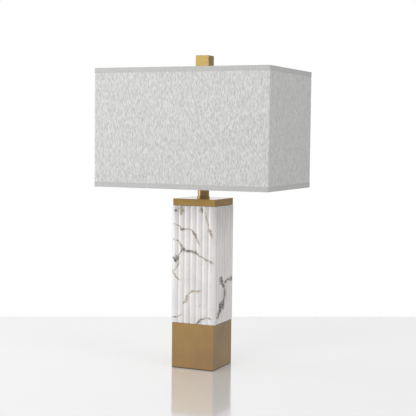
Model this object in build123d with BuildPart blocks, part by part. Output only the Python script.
from build123d import *
import math
import os

# Marble table lamp: a reeded stone column between a brass box and a brass cap, under a box shade.
# Millimetres. +Z is up, -Y is the front, and the origin lies on the table under the column's axis.

# Clearances
fit_gap = 0.15  # round a rod, shell or plate in the opening that holds it
thread_gap = 0.08  # round a screwed part in its tapped hole
seat_gap = 0.1  # between two faces that one turning or lifting piece rests on
weld_gap = 0.05  # between pieces that are glued or welded together
overrun = 1.0  # how far a cut runs past the face that it starts from

# Foot: a felt pad on a steel plate, closed in by the brass box
felt_side = 95.0
felt_thickness = 2.5
felt_corner = 4.0
plate_thickness = 2.0
plate_corner = 2.0
plate_screw_radius = 2.0
plate_screw_length = 14.0
plate_screw_head_radius = 3.7
plate_screw_drive = 2.5

# Brass box
box_side = 100.0
box_height = 100.4
box_wall = 1.5
box_lift = 0.6  # shadow gap between the box's rim and the table
box_edge = 0.7
cord_height = 20.0  # of the cord's way in, above the table

# Cast iron weight
weight_thickness = 40.0
weight_margin = 1.5
weight_edge = 2.0
weight_leg_radius = 7.0
weight_leg_spacing = 76.0

# Cord bushing
cord_bore_radius = 3.7
bushing_radius = 6.0
bushing_flange_radius = 8.5
bushing_flange_thickness = 2.0
bushing_snap_radius = 6.9
bushing_snap_length = 4.0
bushing_tip_radius = 5.4
bushing_slit = 1.0

# Reeded stone column
marble_side = 106.0  # over the reeds
marble_height = 257.5
marble_bore_radius = 7.0
reed_count = 7  # on each face, the corner ones shared
stone_pad_side = 92.0
stone_pad_thickness = 0.5

# Brass cap
cap_side = 100.0
cap_height = 14.5
cap_wall = 1.5
cap_edge = 0.6
core_margin = 0.3

# Threaded tube that draws the lamp together
rod_radius = 5.0
rod_bore_radius = 3.4
rod_tail = 4.0  # below the lower nut
nut_across_flats = 14.0
nut_thickness = 5.5
nut_chamfer = 0.8
lower_washer_radius = 15.0
lower_washer_thickness = 2.0
upper_washer_radius = 9.0
upper_washer_thickness = 1.6

# Brass neck
neck_radius = 12.7
neck_height = 36.0
neck_wall = 2.0
neck_top = 3.0
neck_flange_radius = 14.0
neck_flange_height = 4.0
neck_edge = 0.7

# Harp saddle
saddle_thickness = 2.0
saddle_width = 9.0
saddle_bend = 5.0
saddle_disc_radius = 12.0
saddle_end_height = 5.0  # of the strip's turned-up ends, above the saddle's top face
trough_radius = 3.1
trough_height = 15.0

# Harp
harp_height = 229.0  # from the saddle's top face to the seat for the shade
harp_wire_radius = 1.6
harp_foot_spacing = 72.0
harp_width = 120.0
harp_foot_height = 50.0  # of the straight feet, above the saddle's top face
harp_flare_height = 38.0
harp_flare_bend = 30.0
harp_crown_bend = 48.0
harp_hub_radius = 5.5
harp_hub_height = 9.0
harp_seat_radius = 8.0
harp_seat_thickness = 2.0
stud_radius = 3.175
stud_length = 13.0
stud_chamfer = 0.5

# Harp sleeves
sleeve_radius = 4.2
sleeve_length = 18.0
sleeve_lip = 2.0
sleeve_edge = 0.4

# Lampholder
hub_radius = 7.0
hub_height = 8.0
holder_cap_radius = 17.2
holder_cap_wall = 0.8
holder_cap_rim = 8.0
shell_radius = 16.2
shell_wall = 0.6
shell_height = 46.5
shell_bead = 0.9
bead_edge_share = 0.6  # of the rolled rim's width
liner_wall = 0.7
liner_margin = 1.0
holder_body_radius = 14.4
holder_body_height = 20.5
screw_shell_radius = 13.95
screw_shell_wall = 0.5
screw_shell_height = 22.0
contact_width = 4.0
contact_length = 14.0
contact_thickness = 0.6
contact_rise = 1.7
terminal_screw_radius = 1.5
terminal_screw_head_radius = 2.7
terminal_screw_head = 1.2
terminal_screw_length = 4.0
terminal_flat = 12.0  # from the axis to the flats under the terminal screws
set_screw_radius = 1.5
set_screw_length = 2.6
set_screw_slot = 0.6
set_screw_socket = 1.0

# Switch knob
spindle_radius = 2.4
spindle_depth = 10.0  # of the spindle's inner end, inside the holder's body
knob_radius = 7.2
knob_length = 13.0
knob_gap = 1.4  # between the shell and the knob's inner face
knob_grips = 12
knob_grip_radius = 1.3
knob_bore_depth = 9.0
knob_edge = 0.9

# Bulb
bulb_screw_radius = 13.15
bulb_screw_height = 19.0
bulb_screw_wall = 0.5
bulb_eyelet_radius = 4.6
bulb_eyelet_height = 1.7
bulb_insulator_height = 3.0
bulb_radius = 30.0
bulb_neck_radius = 14.0
bulb_neck_height = 4.0
bulb_body_height = 41.0
bulb_globe_skirt = 12.0  # straight, below the dome
bulb_globe_wall = 1.2

# Box shade
shade_width = 406.0
shade_depth = 258.0
shade_height = 257.0
shade_corner = 3.0
fabric_thickness = 0.6
lining_thickness = 0.8
trim_thickness = 0.5
trim_band = 10.5
trim_tuck = 7.0
trim_notch = 6.0
frame_wire_radius = 1.6
frame_corner = 6.0
spider_recess = 12.0
spider_hub_radius = 13.0
spider_hub_hole_radius = 5.5
spider_hub_thickness = 2.0
spider_wire_radius = 1.6
spider_rise_run = 16.0
spider_bend = 8.0

# Finial
finial_base_radius = 9.0
finial_base_height = 9.0
finial_spigot_radius = 6.0
finial_spigot_height = 10.0
finial_tap_depth = 15.0
finial_block_side = 30.4
finial_block_height = 34.0
finial_edge = 0.6

# Levels, from the table up
z_plate = felt_thickness
z_plate_top = z_plate + plate_thickness
z_box_top = box_lift + box_height
z_weight_top = z_box_top - box_wall
z_weight = z_weight_top - weight_thickness
z_marble = z_box_top + stone_pad_thickness
z_marble_top = z_marble + marble_height
z_cap = z_marble_top + stone_pad_thickness
z_cap_top = z_cap + cap_height
z_saddle = z_cap_top + neck_height
z_holder = z_saddle + saddle_thickness
z_saddle_end = z_holder + saddle_end_height
z_seat = z_holder + harp_height
z_spider = z_seat + seat_gap
z_spider_top = z_spider + spider_hub_thickness
z_shade_top = z_spider_top + spider_recess
z_shade = z_shade_top - shade_height
z_finial = z_spider_top + seat_gap
z_block = z_finial + finial_base_height

# Widths that follow from the sizes above
box_inside = box_side - 2 * box_wall
rod_hole_radius = rod_radius + fit_gap
foot_x = harp_foot_spacing / 2
wall_stack = fabric_thickness + lining_thickness


def export(piece, name):
    """Labels a finished piece and writes it as parts/name.step."""
    piece.part.label = name
    export_step(piece.part, f"parts/{name}.step")


os.makedirs("parts", exist_ok=True)

# Felt pad, the face that the lamp stands on
with BuildPart() as felt_pad:
    with BuildSketch():
        RectangleRounded(felt_side, felt_side, felt_corner)
    extrude(amount=felt_thickness)
export(felt_pad, "felt_pad")

# Bottom plate, countersunk for four screws into the weight's legs
plate_side = box_inside - 2 * fit_gap
countersink_depth = plate_screw_head_radius - plate_screw_radius
with BuildPart() as bottom_plate:
    with BuildSketch(Plane.XY.offset(z_plate)):
        RectangleRounded(plate_side, plate_side, plate_corner)
        with GridLocations(weight_leg_spacing, weight_leg_spacing, 2, 2):
            Circle(plate_screw_radius + fit_gap, mode=Mode.SUBTRACT)
    extrude(amount=plate_thickness)
    with BuildSketch(Plane.XY.offset(z_plate)):
        with GridLocations(weight_leg_spacing, weight_leg_spacing, 2, 2):
            Circle(plate_screw_head_radius + fit_gap)
    extrude(amount=countersink_depth, taper=45, mode=Mode.SUBTRACT)
export(bottom_plate, "bottom_plate")


def plate_screw(spot):
    """A countersunk screw with a cross-shaped drive, driven up into a leg of the weight."""
    with BuildPart() as screw:
        with BuildSketch(Plane.XY.offset(z_plate)):
            with Locations(spot):
                Circle(plate_screw_head_radius)
        extrude(amount=countersink_depth, taper=45)
        with BuildSketch(Plane.XY.offset(z_plate)):
            with Locations(spot):
                Circle(plate_screw_radius)
        extrude(amount=plate_screw_length)
        with BuildSketch(Plane.XY.offset(z_plate)):
            with Locations(spot):
                Rectangle(plate_screw_drive, plate_screw_drive / 3)
                Rectangle(plate_screw_drive / 3, plate_screw_drive)
        extrude(amount=countersink_depth / 2, mode=Mode.SUBTRACT)
    return screw


for number, place in enumerate(GridLocations(weight_leg_spacing, weight_leg_spacing, 2, 2), 1):
    export(plate_screw(place), f"plate_screw_{number}")

# Brass box: folded sheet, open below, with the tube's hole in the top and the cord's in the back
rear_wall = Plane(origin=(0, box_side / 2, cord_height), x_dir=(-1, 0, 0), z_dir=(0, 1, 0))
with BuildPart() as base_box:
    with BuildSketch(Plane.XY.offset(box_lift)):
        Rectangle(box_side, box_side)
    extrude(amount=box_height)
    fillet(base_box.edges().filter_by(Axis.Z), box_edge)
    fillet(base_box.faces().sort_by(Axis.Z)[-1].edges(), box_edge)
    with BuildSketch(Plane.XY.offset(box_lift)):
        Rectangle(box_inside, box_inside)
    extrude(amount=box_height - box_wall, mode=Mode.SUBTRACT)
    with BuildSketch(Plane.XY.offset(z_box_top)):
        Circle(rod_hole_radius)
    extrude(amount=-box_wall - overrun, mode=Mode.SUBTRACT)
    with BuildSketch(rear_wall):
        Circle(bushing_radius + fit_gap)
    extrude(amount=-box_wall - overrun, mode=Mode.SUBTRACT)
export(base_box, "base_box")

# Cast iron weight, clamped against the box's top, on four legs that take the plate screws
weight_side = box_inside - 2 * weight_margin
with BuildPart() as base_weight:
    with BuildSketch(Plane.XY.offset(z_weight)):
        Rectangle(weight_side, weight_side)
    extrude(amount=weight_thickness)
    chamfer(base_weight.edges().filter_by(Axis.Z), weight_edge)
    with BuildSketch(Plane.XY.offset(z_plate_top)):
        with GridLocations(weight_leg_spacing, weight_leg_spacing, 2, 2):
            Circle(weight_leg_radius)
    extrude(until=Until.NEXT)
    with BuildSketch(Plane.XY.offset(z_plate_top)):
        with GridLocations(weight_leg_spacing, weight_leg_spacing, 2, 2):
            Circle(plate_screw_radius + thread_gap)
    extrude(amount=plate_screw_length, mode=Mode.SUBTRACT)
    with BuildSketch(Plane.XY.offset(z_weight - overrun)):
        Circle(rod_hole_radius)
    extrude(amount=weight_thickness + 2 * overrun, mode=Mode.SUBTRACT)
export(base_weight, "base_weight")

# Cord bushing: a slit snap-in sleeve, pushed into the back wall from outside
inner_end = -box_wall - bushing_snap_length
with BuildPart() as cord_bushing:
    with BuildSketch(Plane(origin=rear_wall.origin, x_dir=(0, 0, 1), z_dir=(-1, 0, 0))):
        with BuildLine():
            Polyline(
                (cord_bore_radius, inner_end),
                (bushing_tip_radius, inner_end),
                (bushing_snap_radius, -box_wall - weld_gap),
                (bushing_radius, -box_wall - weld_gap),
                (bushing_radius, weld_gap),
                (bushing_flange_radius, weld_gap),
                (bushing_flange_radius, bushing_flange_thickness),
                (cord_bore_radius, bushing_flange_thickness),
                close=True,
            )
        make_face()
    revolve(axis=Axis(rear_wall.origin, (0, 1, 0)))
    rim = cord_bushing.faces().sort_by(Axis.Y)[-1].edges()
    chamfer(rim.sort_by(SortBy.RADIUS)[-1], bushing_flange_thickness / 2)
    with BuildSketch(rear_wall.offset(inner_end)):
        Rectangle(2 * bushing_flange_radius, bushing_slit)
    extrude(amount=bushing_snap_length, mode=Mode.SUBTRACT)
export(cord_bushing, "cord_bushing")


def stone_pad(level):
    """A thin cork sheet that keeps stone and metal apart."""
    with BuildPart() as pad:
        with BuildSketch(Plane.XY.offset(level)):
            Rectangle(stone_pad_side, stone_pad_side)
            Circle(marble_bore_radius, mode=Mode.SUBTRACT)
        extrude(amount=stone_pad_thickness)
    return pad


export(stone_pad(z_box_top), "lower_stone_pad")
export(stone_pad(z_marble_top), "upper_stone_pad")

# Stone column: convex reeds from end to end on all four faces. Each is a quarter of a round bar as wide as the
# reed's chord, so that a corner bar serves both faces and the corner is round.
reed_width = marble_side / (reed_count - 1 + math.sqrt(2))
reed_radius = reed_width / math.sqrt(2)
reed_row = (reed_count - 1) * reed_width
with BuildPart() as marble_column:
    with BuildSketch(Plane.XY.offset(z_marble)):
        Rectangle(reed_row, reed_row)
        with GridLocations(reed_row, reed_width, 2, reed_count):
            Circle(reed_radius)
        with GridLocations(reed_width, reed_row, reed_count - 2, 2):
            Circle(reed_radius)
        Circle(marble_bore_radius, mode=Mode.SUBTRACT)
    extrude(amount=marble_height)
export(marble_column, "marble_column")

# Brass cap: a shallow folded tray turned over the stone, stiffened by a fibreboard core
with BuildPart() as cap_tray:
    with BuildSketch(Plane.XY.offset(z_cap)):
        Rectangle(cap_side, cap_side)
    extrude(amount=cap_height)
    fillet(cap_tray.edges().filter_by(Axis.Z), cap_edge)
    fillet(cap_tray.faces().sort_by(Axis.Z)[-1].edges(), cap_edge)
    with BuildSketch(Plane.XY.offset(z_cap)):
        Rectangle(cap_side - 2 * cap_wall, cap_side - 2 * cap_wall)
    extrude(amount=cap_height - cap_wall, mode=Mode.SUBTRACT)
    with BuildSketch(Plane.XY.offset(z_cap_top)):
        Circle(rod_hole_radius)
    extrude(amount=-cap_wall - overrun, mode=Mode.SUBTRACT)
export(cap_tray, "cap_tray")

core_side = cap_side - 2 * cap_wall - 2 * core_margin
with BuildPart() as cap_core:
    with BuildSketch(Plane.XY.offset(z_cap)):
        Rectangle(core_side, core_side)
        Circle(rod_hole_radius, mode=Mode.SUBTRACT)
    extrude(amount=cap_height - cap_wall)
export(cap_core, "cap_core")

# Threaded tube, from under the weight to the lampholder's hub
z_lower_nut = z_weight - lower_washer_thickness - nut_thickness
z_rod = z_lower_nut - rod_tail
z_rod_top = z_holder + hub_height
with BuildPart() as threaded_rod:
    with BuildSketch(Plane.XY.offset(z_rod)):
        Circle(rod_radius)
        Circle(rod_bore_radius, mode=Mode.SUBTRACT)
    extrude(amount=z_rod_top - z_rod)
export(threaded_rod, "threaded_rod")



def washer(level, radius, thickness):
    """A plain washer on the tube, upwards from a level."""
    with BuildPart() as ring:
        with BuildSketch(Plane.XY.offset(level)):
            Circle(radius)
            Circle(rod_hole_radius, mode=Mode.SUBTRACT)
        extrude(amount=thickness)
    return ring


z_lower_washer = z_weight - lower_washer_thickness
export(washer(z_lower_washer, lower_washer_radius, lower_washer_thickness), "lower_washer")
export(washer(z_cap_top, upper_washer_radius, upper_washer_thickness), "upper_washer")


def hexagon_nut(level):
    """A nut on the tube with chamfered corners, upwards from a level."""
    with BuildPart() as nut:
        with BuildSketch(Plane.XY.offset(level)):
            Circle(nut_across_flats / math.sqrt(3))
        extrude(amount=nut_thickness)
        chamfer(nut.edges().filter_by(GeomType.CIRCLE), nut_chamfer)
        with BuildSketch(Plane.XY.offset(level)):
            RegularPolygon(nut_across_flats / 2, 6, major_radius=False)
            Circle(rod_radius + thread_gap, mode=Mode.SUBTRACT)
        extrude(amount=nut_thickness, mode=Mode.INTERSECT)
    return nut


export(hexagon_nut(z_lower_nut), "lower_nut")
export(hexagon_nut(z_cap_top + upper_washer_thickness), "upper_nut")

# Brass neck: a turned cup over the upper nut, with a foot ring
with BuildPart() as neck:
    with BuildSketch(Plane.XY.offset(z_cap_top)):
        Circle(neck_radius)
    extrude(amount=neck_height)
    with BuildSketch(Plane.XY.offset(z_cap_top)):
        Circle(neck_flange_radius)
    extrude(amount=neck_flange_height)
    rims = neck.edges().filter_by(GeomType.CIRCLE)
    chamfer(rims.group_by(SortBy.RADIUS)[-1].sort_by(Axis.Z)[-1], neck_edge)
    chamfer(rims.sort_by(Axis.Z)[-1], neck_edge)
    with BuildSketch(Plane.XY.offset(z_cap_top)):
        Circle(neck_radius - neck_wall)
    extrude(amount=neck_height - neck_top, mode=Mode.SUBTRACT)
    with BuildSketch(Plane.XY.offset(z_saddle)):
        Circle(rod_hole_radius)
    extrude(amount=-neck_top - overrun, mode=Mode.SUBTRACT)
export(neck, "neck")

# Harp saddle: a bent strip with a round middle, whose ends carry half-round troughs for the harp's feet
trough_bore_radius = harp_wire_radius + fit_gap
strip_x = foot_x + saddle_thickness / 2
z_strip = z_saddle + saddle_thickness / 2
with BuildPart() as harp_saddle:
    with BuildSketch(Plane.XZ):
        with BuildLine():
            bend_line = FilletPolyline(
                (-strip_x, z_saddle_end),
                (-strip_x, z_strip),
                (strip_x, z_strip),
                (strip_x, z_saddle_end),
                radius=saddle_bend,
            )
        trace(bend_line, line_width=saddle_thickness)
    extrude(amount=saddle_width / 2, both=True)
    with BuildSketch(Plane.XY.offset(z_saddle)):
        Circle(saddle_disc_radius)
    extrude(amount=saddle_thickness)
    for side in (-1, 1):
        with BuildSketch(Plane.XY.offset(z_saddle_end - saddle_thickness)):
            with Locations((side * foot_x, 0)):
                Circle(trough_radius)
        extrude(amount=trough_height)
        with BuildSketch(Plane.XY.offset(z_saddle_end)):
            with Locations((side * foot_x, 0)):
                Circle(trough_bore_radius)
            with Locations((side * (foot_x - trough_radius), 0)):
                Rectangle(2 * trough_radius, 2 * trough_bore_radius)
        extrude(amount=trough_height, mode=Mode.SUBTRACT)
    with BuildSketch(Plane.XY.offset(z_saddle)):
        Circle(rod_hole_radius)
    extrude(amount=saddle_thickness, mode=Mode.SUBTRACT)
export(harp_saddle, "harp_saddle")

# Lampholder cap: a hub screwed on the tube, a quarter-round dome and a rim that grips the shell
dome_radius = holder_cap_radius - hub_radius
z_dome = z_holder + hub_height
z_rim = z_dome + dome_radius
z_cap_rim = z_rim + holder_cap_rim
with BuildPart() as holder_cap:
    with BuildSketch(Plane.XZ):
        with BuildLine():
            Polyline(
                (rod_radius + thread_gap, z_dome + holder_cap_wall),
                (rod_radius + thread_gap, z_holder),
                (hub_radius, z_holder),
                (hub_radius, z_dome),
            )
            CenterArc((hub_radius, z_rim), dome_radius, -90, 90)
            Polyline(
                (holder_cap_radius, z_rim),
                (holder_cap_radius, z_cap_rim),
                (holder_cap_radius - holder_cap_wall, z_cap_rim),
                (holder_cap_radius - holder_cap_wall, z_rim),
            )
            CenterArc((hub_radius, z_rim), dome_radius - holder_cap_wall, -90, 90)
            Line(
                (hub_radius, z_dome + holder_cap_wall),
                (rod_radius + thread_gap, z_dome + holder_cap_wall),
            )
        make_face()
    revolve()
    set_screw_plane = Plane(
        origin=(0, hub_radius, z_holder + hub_height / 2), x_dir=(1, 0, 0), z_dir=(0, 1, 0)
    )
    with BuildSketch(set_screw_plane):
        Circle(set_screw_radius + thread_gap)
    extrude(amount=rod_radius - hub_radius - thread_gap, mode=Mode.SUBTRACT)
export(holder_cap, "holder_cap")

# Set screw that locks the hub on the tube
with BuildPart() as hub_set_screw:
    with BuildSketch(Plane(set_screw_plane.origin - (0, hub_radius - rod_radius, 0), z_dir=(0, 1, 0))):
        Circle(set_screw_radius)
    extrude(amount=set_screw_length)
    with BuildSketch(set_screw_plane.offset(rod_radius - hub_radius + set_screw_length)):
        Rectangle(2 * set_screw_radius, set_screw_slot)
    extrude(amount=-set_screw_socket, mode=Mode.SUBTRACT)
export(hub_set_screw, "hub_set_screw")

# Brass shell of the lampholder, with a rolled rim and the spindle's hole in front
z_shell = z_rim + weld_gap
z_shell_top = z_shell + shell_height
shell_bore_radius = shell_radius - shell_wall
z_knob = z_cap_rim + knob_radius + knob_gap
front = Plane(origin=(0, 0, z_knob), x_dir=(1, 0, 0), z_dir=(0, -1, 0))
spindle_hole_radius = spindle_radius + 2 * fit_gap
with BuildPart() as holder_shell:
    with BuildSketch(Plane.XY.offset(z_shell)):
        Circle(shell_radius)
        Circle(shell_bore_radius, mode=Mode.SUBTRACT)
    extrude(amount=shell_height)
    with BuildSketch(Plane.XY.offset(z_shell_top - 2 * shell_bead)):
        Circle(shell_radius + shell_bead)
        Circle(shell_bore_radius, mode=Mode.SUBTRACT)
    extrude(amount=2 * shell_bead)
    rim = holder_shell.edges().filter_by(GeomType.CIRCLE).group_by(SortBy.RADIUS)[-1]
    chamfer(rim, shell_bead * bead_edge_share)
    with BuildSketch(front):
        Circle(spindle_hole_radius)
    extrude(amount=shell_radius + overrun, mode=Mode.SUBTRACT)
export(holder_shell, "holder_shell")

# Insulating liner inside the shell
liner_radius = shell_bore_radius - fit_gap
with BuildPart() as holder_liner:
    with BuildSketch(Plane.XY.offset(z_shell + liner_margin)):
        Circle(liner_radius)
        Circle(liner_radius - liner_wall, mode=Mode.SUBTRACT)
    extrude(amount=shell_height - 2 * liner_margin)
    with BuildSketch(front):
        Circle(spindle_hole_radius)
    extrude(amount=liner_radius + overrun, mode=Mode.SUBTRACT)
export(holder_liner, "holder_liner")

# Moulded body of the lampholder: it holds the switch, the terminals and the screw shell
z_body = z_shell + liner_margin
z_terminal = z_body + holder_body_height / 4
terminal_planes = [
    Plane(origin=(side * terminal_flat, 0, z_terminal), z_dir=(side, 0, 0)) for side in (-1, 1)
]
z_body_top = z_body + holder_body_height
with BuildPart() as holder_body:
    with BuildSketch(Plane.XY.offset(z_body)):
        Circle(holder_body_radius)
        Circle(rod_radius, mode=Mode.SUBTRACT)
    extrude(amount=liner_margin)
    with BuildSketch(Plane.XY.offset(z_body + liner_margin)):
        Circle(holder_body_radius)
    extrude(amount=z_body_top - z_body - liner_margin)
    with BuildSketch(Plane.XY.offset(z_body)):
        Rectangle(2 * holder_body_radius, 2 * holder_body_radius)
        Rectangle(2 * terminal_flat, 2 * holder_body_radius, mode=Mode.SUBTRACT)
    extrude(amount=holder_body_height / 2, mode=Mode.SUBTRACT)
    with BuildSketch(front.offset(spindle_depth - fit_gap)):
        Circle(spindle_radius + fit_gap)
    extrude(amount=holder_body_radius, mode=Mode.SUBTRACT)
    for seat in terminal_planes:
        with BuildSketch(seat):
            Circle(terminal_screw_radius + thread_gap)
        extrude(amount=-terminal_screw_length, mode=Mode.SUBTRACT)
export(holder_body, "holder_body")



def terminal_screw(seat):
    """A slotted screw in one of the body's flats."""
    with BuildPart() as screw:
        with BuildSketch(seat):
            Circle(terminal_screw_radius)
        extrude(amount=weld_gap - terminal_screw_length)
        with BuildSketch(seat):
            Circle(terminal_screw_head_radius)
        extrude(amount=terminal_screw_head)
        with BuildSketch(seat.offset(terminal_screw_head)):
            Rectangle(2 * terminal_screw_head_radius, terminal_screw_head / 2)
        extrude(amount=-terminal_screw_head / 2, mode=Mode.SUBTRACT)
    return screw


for number, seat in enumerate(terminal_planes, 1):
    export(terminal_screw(seat), f"terminal_screw_{number}")

# Screw shell that takes the bulb
with BuildPart() as screw_shell:
    with BuildSketch(Plane.XY.offset(z_body_top)):
        Circle(screw_shell_radius)
        Circle(screw_shell_radius - screw_shell_wall, mode=Mode.SUBTRACT)
    extrude(amount=screw_shell_height)
export(screw_shell, "screw_shell")

# Centre contact: a spring tongue that rises to the bulb's eyelet
with BuildPart() as centre_contact:
    with BuildSketch(Plane.XZ):
        with BuildLine():
            tongue = FilletPolyline(
                (-contact_length / 2, z_body_top + contact_thickness / 2),
                (-contact_length / 4, z_body_top + contact_thickness / 2),
                (0, z_body_top + contact_rise - contact_thickness / 2),
                (contact_length / 4, z_body_top + contact_rise - contact_thickness / 2),
                radius=contact_thickness,
            )
        trace(tongue, line_width=contact_thickness)
    extrude(amount=contact_width / 2, both=True)
export(centre_contact, "centre_contact")

# Switch spindle and its ribbed knob, which turn together about a front-to-back axis
knob_face = front.offset(shell_radius + knob_gap)
with BuildPart() as switch_spindle:
    with BuildSketch(front.offset(spindle_depth)):
        Circle(spindle_radius)
    extrude(amount=shell_radius + knob_gap + knob_bore_depth - spindle_depth - weld_gap)
export(switch_spindle, "switch_spindle")

with BuildPart() as switch_knob:
    with BuildSketch(knob_face):
        Circle(knob_radius)
    extrude(amount=knob_length)
    chamfer(switch_knob.faces().sort_by(Axis.Y)[0].edges(), knob_edge)
    with BuildSketch(knob_face.offset(knob_edge)):
        with PolarLocations(knob_radius + knob_grip_radius / 3, knob_grips):
            Circle(knob_grip_radius)
    extrude(amount=knob_length, mode=Mode.SUBTRACT)
    with BuildSketch(knob_face):
        Circle(spindle_radius + weld_gap)
    extrude(amount=knob_bore_depth, mode=Mode.SUBTRACT)
export(switch_knob, "switch_knob")

# Harp: one bent wire, from foot to foot over the bulb
harp_x = harp_width / 2
z_foot = z_saddle_end + seat_gap
z_foot_top = z_holder + harp_foot_height
z_crown = z_seat - harp_hub_height / 2 - harp_seat_thickness / 2
with BuildPart() as harp:
    with BuildLine(Plane.XZ) as harp_line:
        FilletPolyline(
            (-foot_x, z_foot),
            (-foot_x, z_foot_top),
            (-harp_x, z_foot_top + harp_flare_height),
            (-harp_x, z_crown),
            (harp_x, z_crown),
            (harp_x, z_foot_top + harp_flare_height),
            (foot_x, z_foot_top),
            (foot_x, z_foot),
            radius=[
                harp_flare_bend,
                harp_flare_bend,
                harp_crown_bend,
                harp_crown_bend,
                harp_flare_bend,
                harp_flare_bend,
            ],
        )
    with BuildSketch(Plane(origin=(-foot_x, 0, z_foot), z_dir=(0, 0, 1))):
        Circle(harp_wire_radius)
    sweep(path=harp_line.line)
export(harp, "harp")

# Harp stud: a hub brazed on the crown, the seat for the shade and the stud for the finial
with BuildPart() as harp_stud:
    with BuildSketch(Plane.XY.offset(z_seat - harp_hub_height)):
        Circle(harp_hub_radius)
    extrude(amount=harp_hub_height)
    with BuildSketch(Plane.XY.offset(z_seat - harp_seat_thickness)):
        Circle(harp_seat_radius)
    extrude(amount=harp_seat_thickness)
    with BuildSketch(Plane.XY.offset(z_seat)):
        Circle(stud_radius)
    extrude(amount=stud_length)
    chamfer(harp_stud.faces().sort_by(Axis.Z)[-1].edges(), stud_chamfer)
    with BuildSketch(Plane(origin=(0, 0, z_crown), z_dir=(1, 0, 0))):
        Circle(harp_wire_radius + weld_gap)
    extrude(amount=harp_hub_radius + overrun, both=True, mode=Mode.SUBTRACT)
export(harp_stud, "harp_stud")


def harp_sleeve(side):
    """A sleeve that slides down a foot of the harp and locks it in the saddle's trough."""
    with BuildPart() as sleeve:
        with BuildSketch(Plane.XY.offset(z_foot)):
            with Locations((side * foot_x, 0)):
                Circle(sleeve_radius)
        extrude(amount=sleeve_length)
        chamfer(sleeve.edges().filter_by(GeomType.CIRCLE), sleeve_edge)
        with BuildSketch(Plane.XY.offset(z_foot)):
            with Locations((side * foot_x, 0)):
                Circle(trough_radius + fit_gap)
        extrude(amount=sleeve_length - sleeve_lip, mode=Mode.SUBTRACT)
        with BuildSketch(Plane.XY.offset(z_foot)):
            with Locations((side * foot_x, 0)):
                Circle(harp_wire_radius + thread_gap)
        extrude(amount=sleeve_length, mode=Mode.SUBTRACT)
    return sleeve


export(harp_sleeve(-1), "harp_sleeve_left")
export(harp_sleeve(1), "harp_sleeve_right")

# Bulb: eyelet, glass insulator, screw cap, moulded body and frosted globe, all turned about Z
z_eyelet = z_body_top + contact_rise + 2 * seat_gap
z_insulator = z_eyelet + bulb_eyelet_height
z_screw = z_insulator + bulb_insulator_height
z_screw_top = z_screw + bulb_screw_height
z_bulb_body_top = z_screw_top + bulb_body_height
with BuildPart() as bulb_eyelet:
    with BuildSketch(Plane.XY.offset(z_insulator)):
        Circle(bulb_eyelet_radius)
    extrude(amount=-bulb_eyelet_height)
    chamfer(bulb_eyelet.faces().sort_by(Axis.Z)[0].edges(), bulb_eyelet_height / 2)
export(bulb_eyelet, "bulb_eyelet")

with BuildPart() as bulb_insulator:
    with BuildSketch(Plane.XY.offset(z_insulator)):
        Circle(bulb_eyelet_radius)
    with BuildSketch(Plane.XY.offset(z_screw)):
        Circle(bulb_screw_radius - bulb_screw_wall)
    loft()
export(bulb_insulator, "bulb_insulator")

with BuildPart() as bulb_screw_cap:
    with BuildSketch(Plane.XY.offset(z_screw)):
        Circle(bulb_screw_radius)
        Circle(bulb_screw_radius - bulb_screw_wall, mode=Mode.SUBTRACT)
    extrude(amount=bulb_screw_height)
export(bulb_screw_cap, "bulb_screw_cap")

with BuildPart() as bulb_body:
    with BuildSketch(Plane.XZ):
        with BuildLine():
            Polyline(
                (0, z_bulb_body_top),
                (0, z_screw_top),
                (bulb_neck_radius, z_screw_top),
                (bulb_neck_radius, z_screw_top + bulb_neck_height),
            )
            TangentArc(
                (bulb_neck_radius, z_screw_top + bulb_neck_height),
                (bulb_radius, z_bulb_body_top),
                tangent=(0, 1),
            )
            Line((bulb_radius, z_bulb_body_top), (0, z_bulb_body_top))
        make_face()
    revolve()
export(bulb_body, "bulb_body")

z_globe = z_bulb_body_top + weld_gap
with BuildPart() as bulb_globe:
    with BuildSketch(Plane.XZ):
        with BuildLine():
            Line((bulb_radius, z_globe), (bulb_radius, z_globe + bulb_globe_skirt))
            CenterArc((0, z_globe + bulb_globe_skirt), bulb_radius, 0, 90)
            Line(
                (0, z_globe + bulb_globe_skirt + bulb_radius),
                (0, z_globe + bulb_globe_skirt + bulb_radius - bulb_globe_wall),
            )
            CenterArc((0, z_globe + bulb_globe_skirt), bulb_radius - bulb_globe_wall, 0, 90)
            Polyline(
                (bulb_radius - bulb_globe_wall, z_globe + bulb_globe_skirt),
                (bulb_radius - bulb_globe_wall, z_globe),
                (bulb_radius, z_globe),
            )
        make_face()
    revolve()
export(bulb_globe, "bulb_globe")

# Shade fabric: one skin round all four sides, its ends covered by the trims
z_panel = z_shade + trim_thickness + weld_gap
panel_height = shade_height - 2 * trim_thickness - 2 * weld_gap
with BuildPart() as shade_fabric:
    with BuildSketch(Plane.XY.offset(z_panel)):
        RectangleRounded(shade_width, shade_depth, shade_corner)
        offset(amount=-fabric_thickness, mode=Mode.SUBTRACT)
    extrude(amount=panel_height)
export(shade_fabric, "shade_fabric")

# Shade lining: four stiff panels behind the fabric, which alone turns the corners
lining_inset = fabric_thickness + weld_gap + lining_thickness / 2
lining_x = shade_width / 2 - lining_inset
lining_y = shade_depth / 2 - lining_inset


def lining_panel(x, y, length_x, length_y):
    """A flat panel of shade board, centred on x, y."""
    with BuildPart() as panel:
        with BuildSketch(Plane.XY.offset(z_panel)):
            with Locations((x, y)):
                Rectangle(length_x, length_y)
        extrude(amount=panel_height)
    return panel


for name, side in (("front", -1), ("rear", 1)):
    panel = lining_panel(0, side * lining_y, shade_width - 2 * shade_corner, lining_thickness)
    export(panel, f"lining_{name}")
for name, side in (("left", -1), ("right", 1)):
    panel = lining_panel(side * lining_x, 0, lining_thickness, shade_depth - 2 * shade_corner)
    export(panel, f"lining_{name}")

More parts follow.
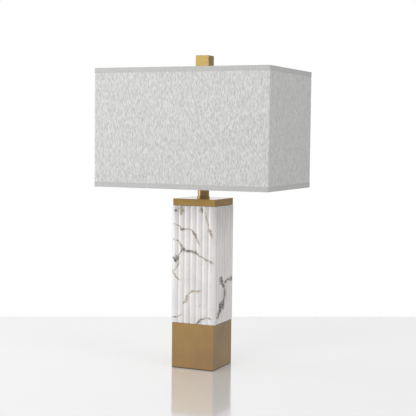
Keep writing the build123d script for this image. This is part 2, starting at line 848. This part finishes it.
# Wire rings that stiffen the shade's two ends, inside the folded trims
ring_inset = wall_stack + 2 * weld_gap + frame_wire_radius
ring_x = shade_width / 2 - ring_inset
ring_y = shade_depth / 2 - ring_inset
z_ring = z_shade_top - trim_thickness - weld_gap - frame_wire_radius
z_ring_low = z_shade + trim_thickness + weld_gap + frame_wire_radius


def frame_ring(level):
    """A rectangular ring of round wire with bent corners."""
    with BuildPart() as ring:
        with BuildLine(Plane.XY.offset(level)) as outline:
            FilletPolyline(
                (ring_x, ring_y),
                (-ring_x, ring_y),
                (-ring_x, -ring_y),
                (ring_x, -ring_y),
                radius=frame_corner,
                close=True,
            )
        with BuildSketch(Plane(origin=outline.line @ 0, z_dir=outline.line % 0)):
            Circle(frame_wire_radius)
        sweep(path=outline.line)
    return ring


export(frame_ring(z_ring), "shade_top_ring")
export(frame_ring(z_ring_low), "shade_bottom_ring")

# Spider: a washer on the harp's seat and four wires that rise to the top ring
with BuildPart() as spider_hub:
    with BuildSketch(Plane.XY.offset(z_spider)):
        Circle(spider_hub_radius)
        Circle(spider_hub_hole_radius, mode=Mode.SUBTRACT)
    extrude(amount=spider_hub_thickness)
export(spider_hub, "spider_hub")

z_arm = z_spider + spider_hub_thickness / 2
arm_turns = {"right": (0, ring_x), "rear": (90, ring_y), "left": (180, ring_x), "front": (270, ring_y)}


def spider_arm(turn, reach):
    """A wire from the hub out and up to the top ring, turned about Z."""
    end = reach - frame_wire_radius - weld_gap
    with BuildPart() as arm:
        with BuildLine(Plane.XZ.rotated((0, 0, turn))) as route:
            FilletPolyline(
                (spider_hub_radius + weld_gap, z_arm),
                (end - 2 * spider_rise_run, z_arm),
                (end - spider_rise_run, z_ring),
                (end, z_ring),
                radius=spider_bend,
            )
        with BuildSketch(Plane(origin=route.line @ 0, z_dir=route.line % 0)):
            Circle(spider_wire_radius)
        sweep(path=route.line)
    return arm


for name, (turn, reach) in arm_turns.items():
    export(spider_arm(turn, reach), f"spider_arm_{name}")

# Trims: folded fabric bands over the shade's two ends, tucked in behind the wire rings
band_width = shade_width + 2 * weld_gap
band_depth = shade_depth + 2 * weld_gap
band_corner = shade_corner + weld_gap
tuck_inset = ring_inset + frame_wire_radius + weld_gap
tuck_width = shade_width - 2 * tuck_inset
tuck_depth = shade_depth - 2 * tuck_inset
tuck_corner = frame_corner - frame_wire_radius - weld_gap


def trim(edge, inward):
    """A band outside, a strip over the edge and a tuck inside; inward is the way into the shade."""
    with BuildPart() as band:
        with BuildSketch(Plane.XY.offset(edge)):
            RectangleRounded(
                band_width + 2 * trim_thickness,
                band_depth + 2 * trim_thickness,
                band_corner + trim_thickness,
            )
            offset(amount=-trim_thickness, mode=Mode.SUBTRACT)
        extrude(amount=inward * trim_band)
        with BuildSketch(Plane.XY.offset(edge)):
            RectangleRounded(tuck_width, tuck_depth, tuck_corner)
            offset(amount=-trim_thickness, mode=Mode.SUBTRACT)
        extrude(amount=inward * trim_tuck)
        with BuildSketch(Plane.XY.offset(edge)):
            RectangleRounded(band_width, band_depth, band_corner)
            RectangleRounded(tuck_width, tuck_depth, tuck_corner, mode=Mode.SUBTRACT)
        extrude(amount=inward * trim_thickness)
        if inward < 0:
            for turn, reach in arm_turns.values():
                with BuildSketch(Plane.XY.offset(edge - trim_tuck).rotated((0, 0, turn))):
                    with Locations((reach - frame_wire_radius - weld_gap - trim_thickness / 2, 0)):
                        Rectangle(2 * trim_thickness, trim_notch)
                extrude(amount=trim_tuck - trim_thickness, mode=Mode.SUBTRACT)
    return band


export(trim(z_shade_top, -1), "shade_top_trim")
export(trim(z_shade, 1), "shade_bottom_trim")

# Finial: a tapped round base with a spigot, pressed into a square brass block
with BuildPart() as finial_base:
    with BuildSketch(Plane.XY.offset(z_finial)):
        Circle(finial_base_radius)
    extrude(amount=finial_base_height)
    with BuildSketch(Plane.XY.offset(z_block)):
        Circle(finial_spigot_radius)
    extrude(amount=finial_spigot_height)
    with BuildSketch(Plane.XY.offset(z_finial)):
        Circle(stud_radius + thread_gap)
    extrude(amount=finial_tap_depth, mode=Mode.SUBTRACT)
export(finial_base, "finial_base")

with BuildPart() as finial_block:
    with BuildSketch(Plane.XY.offset(z_block)):
        Rectangle(finial_block_side, finial_block_side)
    extrude(amount=finial_block_height)
    chamfer(finial_block.edges(), finial_edge)
    with BuildSketch(Plane.XY.offset(z_block)):
        Circle(finial_spigot_radius + weld_gap)
    extrude(amount=finial_spigot_height + weld_gap, mode=Mode.SUBTRACT)
export(finial_block, "finial_block")
